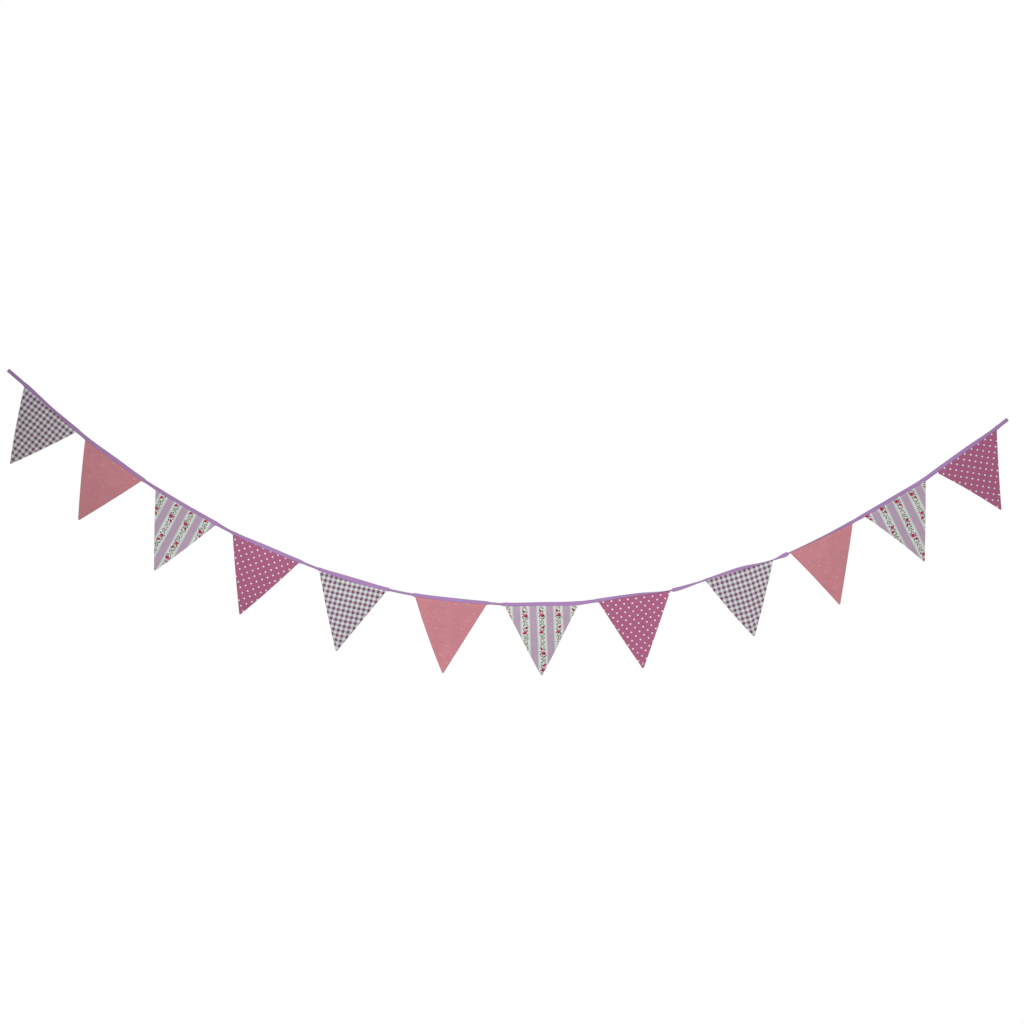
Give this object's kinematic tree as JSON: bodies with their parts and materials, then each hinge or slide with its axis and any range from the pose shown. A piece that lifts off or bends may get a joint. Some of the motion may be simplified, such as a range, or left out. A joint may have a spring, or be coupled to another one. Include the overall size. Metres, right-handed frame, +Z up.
{
  "type": "bunting",
  "caption": "String of triangular cotton pennants in checked, printed and dotted cloths, sewn into a folded bias binding and hung in a swag.",
  "frame": {"origin": "middle of the binding's left end, where the string is held up", "axes": "+X along the span towards the right end, +Y from the front to the back of the cloth, +Z up"},
  "size_m": [2.5047, 0.0265, 0.7675],
  "materials": {
    "bias_binding": "plain-woven cotton bias strip in mauve, matt",
    "gingham_cotton": "plum and off-white quarter-inch gingham check cotton, matt",
    "coral_cotton": "dusty coral cotton with sparse tiny pale sprigs, matt",
    "rose_stripe_cotton": "mauve and off-white striped cotton with a rose vine on the pale stripes, matt",
    "raspberry_dot_cotton": "raspberry cotton with small white dots, matt"
  },
  "bodies": {
    "root": {"binding": "bias_binding", "pennant_01": "gingham_cotton", "pennant_02": "coral_cotton", "pennant_03": "rose_stripe_cotton", "pennant_04": "raspberry_dot_cotton", "pennant_05": "gingham_cotton", "pennant_06": "coral_cotton", "pennant_07": "rose_stripe_cotton", "pennant_08": "raspberry_dot_cotton", "pennant_09": "gingham_cotton", "pennant_10": "coral_cotton", "pennant_11": "rose_stripe_cotton", "pennant_12": "raspberry_dot_cotton"}
  },
  "joints": []
}
